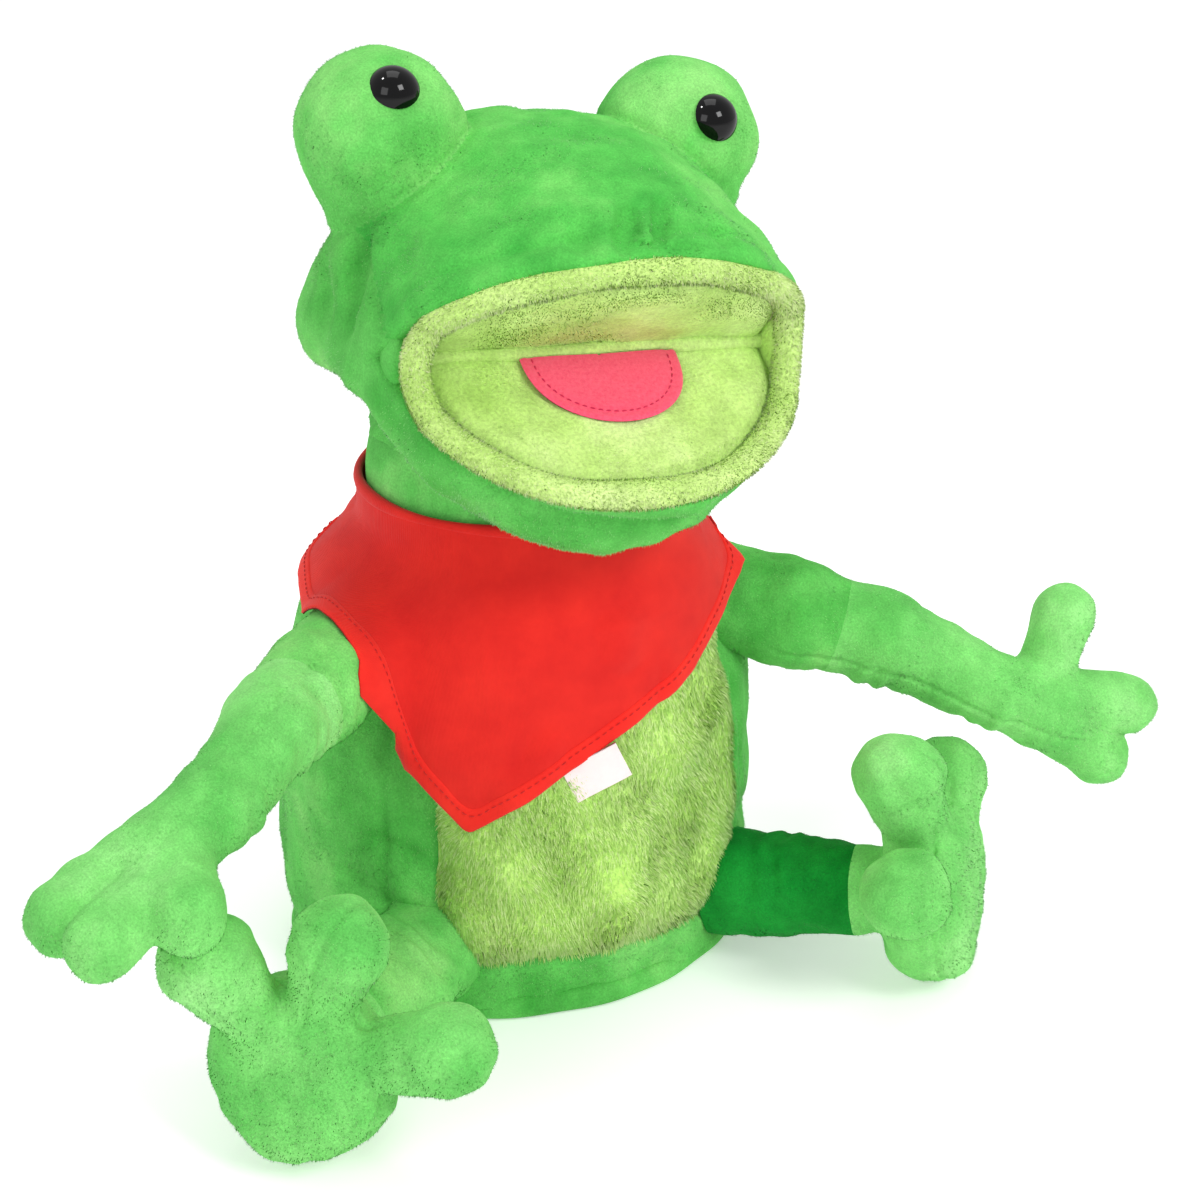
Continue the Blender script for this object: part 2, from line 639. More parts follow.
def head_distance(p):
    q = upright(p)
    crown = crown_distance(q)
    body = join(crown, ball(p, NECK_PIVOT, SKIRT_RADIUS), 10.0)
    body = body + 0.9 * lumps(q, 46.0, 1) + 0.35 * lumps(q, 17.0, 2)
    for groove in FOREHEAD_CREASES + CHIN_CREASES:
        body = body + crease(q, *groove)
    under = below_mouth(q)
    body = body + 3.4 * bell((under - 50.0) * 0.9, 3.0) * step(-q[:, 1], 60.0, 82.0)
    into_head = palate_height(q, "upper")
    ahead = step(-q[:, 1], -FOLD[1] - 14, -FOLD[1] + 10)
    body = body + 1.3 * bell(into_head - 14.5, 1.8) * ahead - 0.8 * bell(into_head - 9.0, 4.0) * ahead
    side_seam = (q - SEAM_CORNER) @ SEAM_NORMAL
    above = step(q[:, 2], 226.0, 236.0)
    body = body + 1.5 * bell(side_seam, 1.8) * above - 1.2 * bell(side_seam - 9, 8.0) * above
    cavity = np.maximum(into_head - 4.5, palate_height(q, "lower") - 4.5)
    body = carve(body, cavity, 2.5)
    under = np.maximum(q[:, 2] - SKIRT_BOTTOM, -64.0 - q[:, 1])
    body = carve(body, under, 3.0)
    for side in BUMPS:
        bulge = bump_distance(q, side) + 0.35 * lumps(q, 22.0, 5)
        seam = 1.7 * bell(crown - bulge, 2.4)
        body = join(body, bulge, 7.0) + seam
        outward = -1 if side == "right" else 1
        band = (q - BUMPS[side]) @ unit([0.25 * outward, 0.95, 0.1])
        body = body + 0.8 * bell(band - 3.0, 1.2) * step(-crown, -60, 8) * bell(bulge, 6.0)
        look = unit(EYE_LOOK[side])
        seat = (q - BUMPS[side]) @ look
        off = length(q - BUMPS[side] - seat[:, None] * look)
        body = body + 0.9 * bell(off - 8.2, 1.6) * step(seat, 10.0, 18.0)
    return body


def head_region(q):
    """Which cover a point of the head's surface belongs to."""
    crown = crown_distance(q)
    region = np.where((q - SEAM_CORNER) @ SEAM_NORMAL < 0, "crown_cover", "head_back_panel").astype(object)
    for side in BUMPS:
        region[(bump_distance(q, side) < crown) & (q[:, 2] > 250)] = f"{side}_eye_bump_cover"
    lower = (q[:, 2] < FOLD[2]) & (q[:, 1] < -58.0)
    region[lower] = "chin_cover"
    ahead = q[:, 1] < FOLD[1] + 3
    reach = np.hypot(q[:, 1] - FOLD[1], q[:, 2] - FOLD[2])
    inside = lip_outline(q[:, 0], reach, MOUTH_DEPTH["upper"]) < -2.6
    open_mouth = (palate_height(q, "upper") < 5.4) & (palate_height(q, "lower") < 5.4) & ahead & inside
    region[open_mouth] = "mouth"
    underside = (q[:, 2] < SKIRT_BOTTOM + 2.5) & (length((q - NECK_PIVOT)[:, :2]) < SKIRT_RADIUS - 3.5)
    region[underside] = "opening"
    return region


HEAD_PIECES = {
    "crown_cover": (CROWN_GREEN, ["crown_cover", "crown_stuffing"]),
    "head_back_panel": (GREEN, ["head_back_panel"]),
    "right_eye_bump_cover": (GREEN, ["right_eye_bump_cover", "right_eye_bump_stuffing"]),
    "left_eye_bump_cover": (GREEN, ["left_eye_bump_cover", "left_eye_bump_stuffing"]),
    "chin_cover": (GREEN, ["chin_cover", "jaw_stuffing"]),
}


def make_head():
    points, normals, faces = polygonise(head_distance, (-86, -136, 160), (90, 58, 318))
    centres = points[faces].mean(1)
    region = head_region(upright(centres))
    for name, (material, nodes) in HEAD_PIECES.items():
        surface = keep_faces(points, normals, faces, region == name)
        piece = shell_object(f"{name}_plush", surface, material)
        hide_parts(*nodes)
        fibre_mix = CROWN_FIBRES if name == "crown_cover" else GREEN_FIBRES
        seed = 202 if name == "chin_cover" else 201
        fur = short_pile(f"{name}_pile", surface, (0.1, 0.5, -0.6), seed, fibre_mix)
        for part in (piece, fur):
            if name == "chin_cover":
                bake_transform(part)
            else:
                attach(part, "head")


# ------------------------------------------------------------------ mouth
def palate_point(name, across, forward, height):
    """A point of a palate: across, forward from the fold, and height into the padding."""
    slope = SLOPES[name]
    side = 1 if name == "upper" else -1
    y = FOLD[1] - forward * math.cos(slope) + height * side * math.sin(slope)
    z = FOLD[2] + forward * math.sin(slope) + height * side * math.cos(slope)
    return rolled(np.stack([across, y, z], -1))


def lip_path(name, inset, t):
    """A lip's outline set in by some distance, from the right end of the fold to the left."""
    turn = np.pi * t
    return -(MOUTH_HALF - inset) * np.cos(turn), (MOUTH_DEPTH[name] - inset) * np.sin(turn)


RIM_INSET, RIM_HEIGHT = 3.9, 3.4
RIM_WIDE, RIM_TALL = 4.3, 3.7
RIM_SIDES = 24
CORNER_SHARE = 0.128


def rolled_edge(name, path, up, wide, tall, body, seed):
    """A padded roll of plush along a path, with its fibres; body is a name or a blend."""
    along = np.gradient(path, axis=0)
    sideways = np.cross(along, up)
    sideways /= length(sideways)[:, None]
    piece = tube_object(f"{name}_plush", path, sideways, up, wide, tall, [MOUTH], RIM_SIDES)
    points, faces, _ = tube(path, sideways, up, wide, tall, RIM_SIDES)
    around = len(path) * RIM_SIDES
    normals = np.vstack([points[:around] - np.repeat(path, RIM_SIDES, axis=0), np.ones((2, 3))])
    normals /= length(normals)[:, None]
    surface = (points, normals, faces)
    fur = pile(f"{name}_pile", surface, MOUTH_FIBRES, 4.0, 1.3, 0.3, (0, -0.3, -0.5), 0.7, seed)
    for part in (piece, fur):
        if isinstance(body, str):
            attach(part, body)
        else:
            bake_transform(part)
    return piece


def make_rim(name, body):
    """The padded roll of plush along a lip, as far as the mouth's corners."""
    seed = 31 if name == "upper" else 32
    t = np.linspace(CORNER_SHARE - 0.012, 1 - CORNER_SHARE + 0.012, 140)
    uneven = lumps(np.stack([t * 260, t * 0, t * 0 + 40], -1), 40.0, seed - 10)
    across, forward = lip_path(name, RIM_INSET + 0.3 * uneven, t)
    path = palate_point(name, across, forward, RIM_HEIGHT + 0 * t)
    up = palate_point(name, across, forward, RIM_HEIGHT + 1 + 0 * t) - path
    wide = RIM_WIDE * (1 + 0.05 * uneven)
    piece = rolled_edge(f"{name}_lip_rim", path, up, wide, RIM_TALL + 0 * t, body, seed)
    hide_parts(f"{name}_lip_rim")


def make_mouth_corner(side):
    """The roll round a corner of the mouth, which folds up as the mouth shuts."""
    sign = -1 if side == "right" else 1
    share = CORNER_SHARE if side == "right" else 1 - CORNER_SHARE
    ends = []
    for name in ("upper", "lower"):
        across, forward = lip_path(name, RIM_INSET, np.array([share]))
        ends.append(palate_point(name, across, forward, np.array([RIM_HEIGHT]))[0])
    bend = rolled(np.array([sign * (MOUTH_HALF - 1.5), FOLD[1] - 1.0, FOLD[2]]))
    s = np.linspace(0, 1, 48)[:, None]
    path = (1 - s) ** 2 * ends[0] + 2 * s * (1 - s) * bend + s**2 * ends[1]
    along = np.gradient(path, axis=0)
    side_axis = rolled(ROLL_CENTRE + [1.0, 0, 0]) - ROLL_CENTRE
    up = np.cross(side_axis, along)
    up /= length(up)[:, None]
    wide, tall = RIM_WIDE + 0 * s[:, 0], RIM_TALL + 0.3 * bell(s[:, 0] - 0.5, 0.2)
    seed = 25 if side == "right" else 26
    rolled_edge(f"{side}_mouth_corner", path, up, wide, tall, (path[5], path[-6]), seed)


def make_mouth_board(name, body):
    """The stiff board between the lining and the padding."""
    t = np.linspace(0, 1, 80)
    shares = np.linspace(1, 0, 14)
    across, forward = lip_path(name, 8.6, t)
    across, forward = shares[:, None] * across, shares[:, None] * forward
    points = palate_point(name, across, forward, 5.0 + 0 * across).reshape(-1, 3)
    faces = grid_faces(*across.shape)
    surface = (points, vertex_normals(points, faces), faces)
    piece = shell_object(f"{name}_mouth_board_sheet", surface, BOARD, 1.2)
    settle(piece, body, "mouth_board", f"{name}_mouth_board")


def lining_surface(name):
    """The palate's lining: pulled down into the seam inside the rim and soft in the middle."""
    t = np.linspace(0, 1, 130)
    rows = []
    for inset in np.concatenate([np.arange(7.2, 12.0, 0.8), np.arange(12.0, 39.5, 1.5)]):
        across, forward = lip_path(name, inset, t)
        rows.append((across, forward, np.full_like(t, inset)))
    across, forward = lip_path(name, 39.0, t)
    for shrink in np.linspace(1, 0, 18)[1:]:
        rows.append((across * shrink, forward * shrink, np.full_like(t, 57 - 18 * shrink)))
    across, forward, inset = (np.array(part) for part in zip(*rows))
    flat = np.stack([across, forward, inset * 0], -1).reshape(-1, 3)
    waves = (0.45 * lumps(flat, 34.0, 41 if name == "upper" else 42)
             + 0.2 * lumps(flat, 12.0, 43)).reshape(across.shape)
    height = 4.4 - 2.9 * step(inset, 7.4, 13.0) + waves * step(inset, 8.0, 14.0)
    points = palate_point(name, across, forward, height).reshape(-1, 3)
    faces = grid_faces(*across.shape)
    zero = np.zeros(1)
    facing = palate_point(name, zero, zero, zero - 1) - palate_point(name, zero, zero, zero)
    return turned_towards(points, faces, facing)


def make_lining(name, body):
    surface = lining_surface(name)
    piece = shell_object(f"{name}_palate_plush", surface, MOUTH, 0.9)
    settle(piece, body, "mouth_plush", f"{name}_palate_lining")
    flow = (0, -0.6, -0.4) if name == "lower" else (0, -0.5, 0.3)
    fur = pile(f"{name}_palate_pile", surface, MOUTH_FIBRES, 2.4, 1.0, 0.3, flow, 1.9,
               51 if name == "upper" else 52, keep=clear_of_tongue if name == "lower" else None)
    settle(fur, body, "pile_plush")


TONGUE_HALF, TONGUE_END, TONGUE_ROOT = 25.0, 26.0, 1.5
STITCH_ROW = 4


def palate_place(points, name):
    """Across and forward of points on a palate."""
    q = upright(points)
    slope = SLOPES[name]
    forward = -(q[:, 1] - FOLD[1]) * math.cos(slope) + (q[:, 2] - FOLD[2]) * math.sin(slope)
    return q[:, 0], forward


def clear_of_tongue(points):
    across, forward = palate_place(points, "lower")
    return np.hypot(across / (TONGUE_HALF + 0.5), forward / (TONGUE_END + 0.5)) > 1


def make_tongue():
    """Half-round felt tongue with a line of stitches inside its edge."""
    t = np.linspace(0, np.pi, 61)
    shares = np.array([1.0, 0.985, 0.95, 0.9, 0.86, 0.82, 0.7, 0.5, 0.25, 0.02])
    curve, share = np.meshgrid(t, shares)
    across = (-TONGUE_HALF * np.cos(curve) + 1.5 * np.sin(curve)) * share
    forward = TONGUE_ROOT + (TONGUE_END - TONGUE_ROOT) * np.sin(curve) ** 0.8 * share
    flat = np.stack([across, forward, 0 * across], -1).reshape(-1, 3)
    rise = 1.6 + 0.25 * lumps(flat, 24.0, 61).reshape(across.shape)
    rise = rise - 0.5 * bell(share - 0.88, 0.03) - 0.7 * step(share, 0.96, 1.0)
    height = 1.2 - rise
    points = palate_point("lower", across, forward, height).reshape(-1, 3)
    faces = grid_faces(*across.shape)
    points, normals, faces = turned_towards(points, faces, UP)
    piece = shell_object("tongue_felt", (points, normals, faces), FELT, 1.1)
    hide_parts("tongue")
    line = points.reshape(*across.shape, 3)[STITCH_ROW]
    upward = normals.reshape(*across.shape, 3)[STITCH_ROW]
    along = np.gradient(line, axis=0)
    along /= length(along)[:, None]
    stitches = make_stitches("tongue_stitches", line, upward, along, 2.4, FELT_THREAD)
    for part in (piece, stitches):
        settle(part, "jaw", "tongue_felt")


def make_corner_pad(name, centre, radii, material, slot):
    """A small plump pad that closes the side of the mouth behind its rolled edge."""
    reach = np.array(radii) + 8.0
    place = rolled(centre)
    surface = polygonise(lambda p: egg(upright(p), centre, radii), place - reach, place + reach)
    settle(shell_object(name, surface, material), "head", slot)


def make_mouth_fold():
    """The lining turns from one palate to the other along the fold."""
    x = np.linspace(-MOUTH_HALF + 3, MOUTH_HALF - 3, 60)
    y = 0 * x + FOLD[1] + 2.0
    z = 0 * x + FOLD[2] + 0.4 * np.sin(x / 9)
    path = rolled(np.stack([x, y, z], -1))
    back = rolled(np.stack([x, y + 1, z], -1)) - path
    rise = rolled(np.stack([x, y, z + 1], -1)) - path
    ends = 1 + 0.5 * np.clip((np.abs(x) - 56) / 8, 0, 1)
    piece = tube_object("mouth_fold_plush", path, back, rise, 3.0 * ends, 2.7 * ends, [MOUTH], sides=16)
    settle(piece, "head", "mouth_plush")


POCKET_BEND, POCKET_LOW = 16.0, 6.6


def make_pocket(node, palate, body, half_width, back, front, high):
    """A flat cotton tube on a mouth board: open at the back and rounded towards the lip."""
    bend = np.sin(np.linspace(0, np.pi / 2, 12)[1:])
    straight = np.linspace(back, front - POCKET_BEND, 12)
    forward = np.concatenate([straight, front - POCKET_BEND * (1 - bend)])
    turn = np.linspace(0, 2 * np.pi, 48, endpoint=False)
    past = np.maximum(forward - front + POCKET_BEND, 0) / POCKET_BEND
    narrow = np.sqrt(np.clip(1 - past**2, 0.0004, 1))[:, None]
    across = half_width * narrow * np.sign(np.cos(turn)) * np.abs(np.cos(turn)) ** 0.7
    lift = (high - POCKET_LOW) / 2 * narrow * np.sign(np.sin(turn)) * np.abs(np.sin(turn)) ** 0.7
    height = (high + POCKET_LOW) / 2 + lift
    points = palate_point(palate, across, forward[:, None] + 0 * across, height).reshape(-1, 3)
    faces = grid_faces(len(forward), len(turn), wrap=True)
    surface = turned_towards(points, faces, points - points.mean(0))
    settle(shell_object(f"{node}_cotton", surface, LINING, 0.7), body, "lining", node)


# ------------------------------------------------------------------ neck
def neck_surface(z):
    """The neck's sleeve: part of a ball about the nod joint, on a short cone."""
    ball_part = np.sqrt(50.0**2 - (z - NECK_PIVOT[2]) ** 2)
    radius = np.where(z > 160, ball_part, 49.4 + (160 - z) * 0.1) + 1.0
    turn = np.linspace(0, 2 * np.pi, 120, endpoint=False)
    across, height = np.meshgrid(turn, z)
    wide = radius[:, None] + 0.5 * np.sin(5 * across + height / 6)
    ring = [wide * np.sin(across), NECK_PIVOT[1] - wide * np.cos(across), height]
    points = np.stack(ring, -1).reshape(-1, 3)
    faces = grid_faces(len(z), len(turn), wrap=True)
    return points, vertex_normals(points, faces), faces


def make_neck():
    lower = shell_object("neck_sleeve_lower", neck_surface(np.linspace(150, 164, 9)), GREEN)
    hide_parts("neck_sleeve")
    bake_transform(lower)
    upper = shell_object("neck_sleeve_upper", neck_surface(np.linspace(163, 193, 17)), GREEN)
    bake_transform(upper)


# ------------------------------------------------------------------ torso
def ring_values(z):
    """Half-width, half-depth and shift of the torso at a height, on smooth curves."""
    heights = TORSO_RINGS[:, 0]
    slopes = np.gradient(TORSO_RINGS[:, 1:], heights, axis=0)
    z = np.clip(z, heights[0], heights[-1])
    i = np.clip(np.searchsorted(heights, z, side="right") - 1, 0, len(heights) - 2)
    gap = (heights[i + 1] - heights[i])[..., None]
    t = ((z - heights[i])[..., None]) / gap
    low, high = TORSO_RINGS[i, 1:], TORSO_RINGS[i + 1, 1:]
    value = (2 * t**3 - 3 * t**2 + 1) * low + (t**3 - 2 * t**2 + t) * gap * slopes[i]
    return value + (3 * t**2 - 2 * t**3) * high + (t**3 - t**2) * gap * slopes[i + 1]


def torso_point(angle, z, out):
    """Angle in degrees from the front, positive towards the frog's left, and a distance outwards."""
    half_width, half_depth, shift = np.moveaxis(ring_values(z), -1, 0)
    a = np.radians(angle)
    return np.stack([(half_width + out) * np.sin(a), shift - (half_depth + out) * np.cos(a), z], -1)


MM_PER_DEGREE = 1.3


def line_fold(angle, z, start, end, width, depth):
    """A fold on the torso along a line between two (angle, height) places."""
    p = np.stack([angle * MM_PER_DEGREE, z], -1)
    a, b = np.array(start) * [MM_PER_DEGREE, 1], np.array(end) * [MM_PER_DEGREE, 1]
    axis = b - a
    t = np.clip((p - a) @ axis / (axis @ axis), 0, 1)
    away = length(p - a - t[..., None] * axis)
    return depth * bell(away, width) * (0.3 + 0.7 * np.sin(np.pi * t))


TORSO_FOLDS = [
    ((-70, 52), (-34, 30), 4.0, -3.2), ((-60, 66), (-40, 58), 4.0, -2.4), ((-62, 40), (-30, 16), 4.5, 1.6),
    ((-92, 92), (-62, 80), 6.0, -2.2), ((-86, 104), (-70, 60), 8.0, 1.8), ((48, 50), (70, 36), 4.0, -2.6),
    ((44, 118), (66, 96), 6.0, -1.8), ((-50, 108), (-44, 70), 5.0, -1.5), ((120, 60), (150, 30), 8.0, -1.8),
    ((-150, 70), (-120, 40), 8.0, -1.8), ((160, 110), (200, 96), 8.0, 1.4), ((0, 4), (0, 22), 2.0, -1.6),
]


def torso_relief(angle, z):
    """How far the plush stands out from the torso's plain form."""
    points = torso_point(angle, z, 0)
    out = 1.0 * lumps(points.reshape(-1, 3), 50.0, 71).reshape(angle.shape)
    out = out + 0.4 * lumps(points.reshape(-1, 3), 19.0, 72).reshape(angle.shape)
    for fold in TORSO_FOLDS:
        out = out + line_fold(angle, z, *fold)
    in_patch = np.minimum.reduce([
        (angle - PATCH_RIGHT) * MM_PER_DEGREE, (PATCH_LEFT - angle) * MM_PER_DEGREE,
        z - PATCH_BOTTOM, PATCH_TOP - z])
    out = out + 2.4 * step(in_patch, 0.0, 9.0) - 1.8 * bell(in_patch, 2.2)
    out = out + 1.8 * bell(z - 34, 10.0) * bell(angle, 60.0) - 1.6 * bell(z - 12, 6.0) * bell(angle, 90.0)
    for seam in (-SIDE_SEAM, SIDE_SEAM):
        out = out - 1.5 * bell((angle - seam) * MM_PER_DEGREE, 1.5)
    return out


TORSO_COLUMNS, TORSO_ROWS = 300, 88


def torso_grid(inset=0.0, low=5.5, high=157.0):
    """The torso's surface on a grid, and the angle and height of the middle of each face."""
    angles = -180 + 360 / TORSO_COLUMNS * np.arange(TORSO_COLUMNS)
    heights = np.linspace(low, high, TORSO_ROWS)
    angle, z = np.meshgrid(angles, heights)
    points = torso_point(angle, z, torso_relief(angle, z) - inset).reshape(-1, 3)
    faces = grid_faces(TORSO_ROWS, TORSO_COLUMNS, wrap=True)
    middle = angle + 180 / TORSO_COLUMNS
    rise = z + (high - low) / TORSO_ROWS / 2
    return points, vertex_normals(points, faces), faces, middle[:-1].ravel(), rise[:-1].ravel()


def make_torso():
    points, normals, faces, angle, z = torso_grid()
    patch = (angle > PATCH_RIGHT) & (angle < PATCH_LEFT) & (z > PATCH_BOTTOM) & (z < PATCH_TOP)
    front = (np.abs(angle) < SIDE_SEAM) & ~patch
    parts = {
        "body_front_panel": (front, GREEN, "green_plush"),
        "body_back_panel": (~front & ~patch, GREEN, "green_plush"),
        "belly_patch": (patch, PATCH, "pile_plush"),
    }
    for name, (wanted, material, slot) in parts.items():
        surface = keep_faces(points, normals, faces, wanted)
        settle(shell_object(f"{name}_plush", surface, material), "torso", slot, name)
        if name == "belly_patch":
            fur = pile("belly_patch_pile", surface, PATCH_FIBRES, 2.6, 2.7, 0.34, (0.1, -0.1, -1.0), 1.1,
                       81, keep=clear_of_bandana)
        else:
            fur = short_pile(f"{name}_pile", surface, (0.1, 0.0, -0.8), 203)
        settle(fur, "torso", slot)
    inner = torso_grid(inset=3.2, low=3.0)[:3]
    lining = shell_object("sleeve_lining_cotton", inner, LINING, 0.8)
    settle(lining, "torso", "lining", "sleeve_lining")


def make_hem():
    """The bottom edge, turned under as a soft roll."""
    angle = np.linspace(-180, 180, 241)
    z = np.full_like(angle, 4.0)
    wave = 0.35 * np.sin(np.radians(angle) * 9) + 0.25 * np.sin(np.radians(angle) * 17 + 1)
    path = torso_point(angle, z, wave - 1.6)
    out = torso_point(angle, z, wave - 0.6) - path
    up = np.tile(UP, (len(angle), 1))
    wide, tall = np.full_like(angle, 2.6), np.full_like(angle, 4.0)
    piece = tube_object("bottom_hem_plush", path, out, up, wide, tall, [GREEN])
    settle(piece, "torso", "green_plush", "bottom_hem")


# ------------------------------------------------------------------ bandana
SLEEVE_REACH = 0.95
CLOTH_COLUMNS, CLOTH_ROWS = 360, 48
CLOTH_RELIEF, CLOTH_GAP = 3.4, 0.9
COLLAR_RADIUS = 52.6
HEM_STITCH_ROW = 5


def under_bandana(p, relief=0.0):
    """What the bandana lies on: the torso and the roots of the arms."""
    half_width, half_depth, shift = np.moveaxis(ring_values(p[:, 2]), -1, 0)
    radial = np.hypot(p[:, 0] / half_width, (p[:, 1] - shift) / half_depth)
    torso = (radial - 1) * np.minimum(half_width, half_depth)
    torso = torso - relief * (1 - 0.6 * step(p[:, 2], 140.0, 156.0))
    for side in ("right", "left"):
        root, shoulder = SHOULDER_ROOTS[side], PIVOT[f"{side}_shoulder"]
        stub = root + (shoulder - root) * SLEEVE_REACH
        torso = join(torso, bar(p, root, stub, ARM_RADII[0] + 1.2, ARM_RADII[0] + 1.2), 12.0)
    return torso


def covered(p):
    """Whether points of the body lie under the bandana."""
    u = p[:, 0] * math.cos(BANDANA_TURN) + p[:, 1] * math.sin(BANDANA_TURN)
    ahead = p[:, 0] * math.sin(BANDANA_TURN) - p[:, 1] * math.cos(BANDANA_TURN)
    edge = np.interp(u, BANDANA_EDGE[:, 0], BANDANA_EDGE[:, 1])
    inside = p[:, 2] > np.where(ahead < 6, COLLAR_BOTTOM + 3.0, np.minimum(edge, COLLAR_BOTTOM + 3.0))
    for side in ("right", "left"):
        root, shoulder = SHOULDER_ROOTS[side], PIVOT[f"{side}_shoulder"]
        along = (p - root) @ (shoulder - root) / ((shoulder - root) @ (shoulder - root))
        axis = unit(shoulder - root)
        ahead_of_arm = unit([abs(axis[1]) * np.sign(root[0]) * -1, -abs(axis[0]), 0.0])
        limit = 0.74 + 0.30 * (p - root) @ ahead_of_arm / ARM_RADII[0]
        over_arm = bar(p, root, shoulder, ARM_RADII[0], ARM_RADII[0]) < 6
        inside &= ~(over_arm & (along > limit))
    return inside


def drape_bandana():
    """Run down the body from the collar at every angle, as far as the bandana's edge."""
    angle = np.radians(-180 + 360 / CLOTH_COLUMNS * np.arange(CLOTH_COLUMNS))
    outward = np.stack([np.sin(angle), -np.cos(angle), 0 * angle], -1)
    p = outward * COLLAR_RADIUS + np.array([0, NECK_PIVOT[1], COLLAR_TOP])
    path, length_run, running = [p], np.zeros(CLOTH_COLUMNS), np.ones(CLOTH_COLUMNS, bool)
    for _ in range(125):
        slope = gradient(lambda q: under_bandana(q, CLOTH_RELIEF), p, 0.5)
        across = (slope * outward).sum(-1)
        size = np.maximum(np.hypot(across, slope[:, 2]), 1e-6)
        across, upward = across / size, slope[:, 2] / size
        p = p + upward[:, None] * outward - across[:, None] * UP
        gap = under_bandana(p, CLOTH_RELIEF) - CLOTH_GAP
        p = p - (gap / size)[:, None] * (across[:, None] * outward + upward[:, None] * UP)
        path.append(p)
        running &= covered(p)
        length_run += running
    window = np.array([1, 2, 3, 2, 1]) / 9
    length_run = np.convolve(np.pad(length_run, 2, mode="wrap"), window, mode="valid")
    path = np.array(path)
    v = np.linspace(0, 1, CLOTH_ROWS)
    place = v[:, None] * length_run
    low = np.minimum(place.astype(int), len(path) - 2)
    share = (place - low)[..., None]
    column = np.arange(CLOTH_COLUMNS)
    grid = path[low, column] * (1 - share) + path[low + 1, column] * share
    for _ in range(10):
        smooth = grid.copy()
        beside = np.roll(grid, 1, 1)[1:-1] + np.roll(grid, -1, 1)[1:-1]
        smooth[1:-1] = (grid[2:] + grid[:-2] + beside) / 4
        flat = smooth.reshape(-1, 3)
        push = np.maximum(CLOTH_GAP - under_bandana(flat, CLOTH_RELIEF), 0)
        grid = (flat + push[:, None] * gradient(under_bandana, flat, 0.5)).reshape(grid.shape)
    faces = grid_faces(CLOTH_ROWS, CLOTH_COLUMNS, wrap=True)
    flat = grid.reshape(-1, 3)
    flat, normals, faces = turned_towards(flat, faces, (flat - NECK_PIVOT) * [1, 1, 0])
    loose = np.repeat(step(v, 0.15, 0.8), CLOTH_COLUMNS)
    waves = 0.9 * lumps(flat * [1.0, 1.0, 0.6], 60.0, 91) + 0.25 * lumps(flat, 24.0, 92)
    flat = flat + normals * (np.maximum(waves + 0.4, 0) * loose)[:, None]
    angle = np.degrees(np.arctan2(flat[:, 0], -(flat[:, 1] - ring_values(flat[:, 2])[:, 2])))
    body = torso_point(angle, flat[:, 2], torso_relief(angle, flat[:, 2]) + 1.3)
    centre = np.column_stack([0 * angle, ring_values(flat[:, 2])[:, 2]])
    away, needed = flat[:, :2] - centre, length(body[:, :2] - centre)
    low_part = flat[:, 2] < 159
    scale = np.where(low_part, np.maximum(needed / length(away), 1), 1)
    flat[:, :2] = centre + away * scale[:, None]
    return flat, vertex_normals(flat, faces), faces, length_run


CLOTH, CLOTH_NORMALS, CLOTH_FACES, CLOTH_RUN = drape_bandana()


def clear_of_bandana(points):
    """Whether points of the torso lie below the bandana's edge."""
    angle = np.degrees(np.arctan2(points[:, 0], -points[:, 1]))
    edge = CLOTH.reshape(CLOTH_ROWS, CLOTH_COLUMNS, 3)[-1]
    edge_angle = np.degrees(np.arctan2(edge[:, 0], -edge[:, 1]))
    order = np.argsort(edge_angle)
    return points[:, 2] < np.interp(angle, edge_angle[order], edge[order, 2]) + 1.0


def make_bandana():
    """A red cotton triangle that goes round the neck, its point on the belly."""
    piece = shell_object("bandana_cloth", (CLOTH, CLOTH_NORMALS, CLOTH_FACES), RED, 0.7)
    settle(piece, "torso", "red_cotton", "bandana")
    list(make_bandana_hem())
    make_collar_fold()


def make_collar_fold():
    """The cloth's folded top edge, close round the neck."""
    ring = CLOTH.reshape(CLOTH_ROWS, CLOTH_COLUMNS, 3)[0][::4]
    path = np.vstack([ring, ring[:1]]) * [0.985, 0.985, 1.0]
    out = path - [0, NECK_PIVOT[1], 0]
    out[:, 2] = 0
    out /= length(out)[:, None]
    up = np.tile(UP, (len(path), 1))
    uneven = 1.5 + 0.3 * np.sin(np.linspace(0, 2 * np.pi, len(path)) * 5)
    piece = tube_object("bandana_collar_fold", path, out, up, uneven, uneven * 1.3, [RED], sides=12)
    return settle(piece, "torso", "red_cotton")


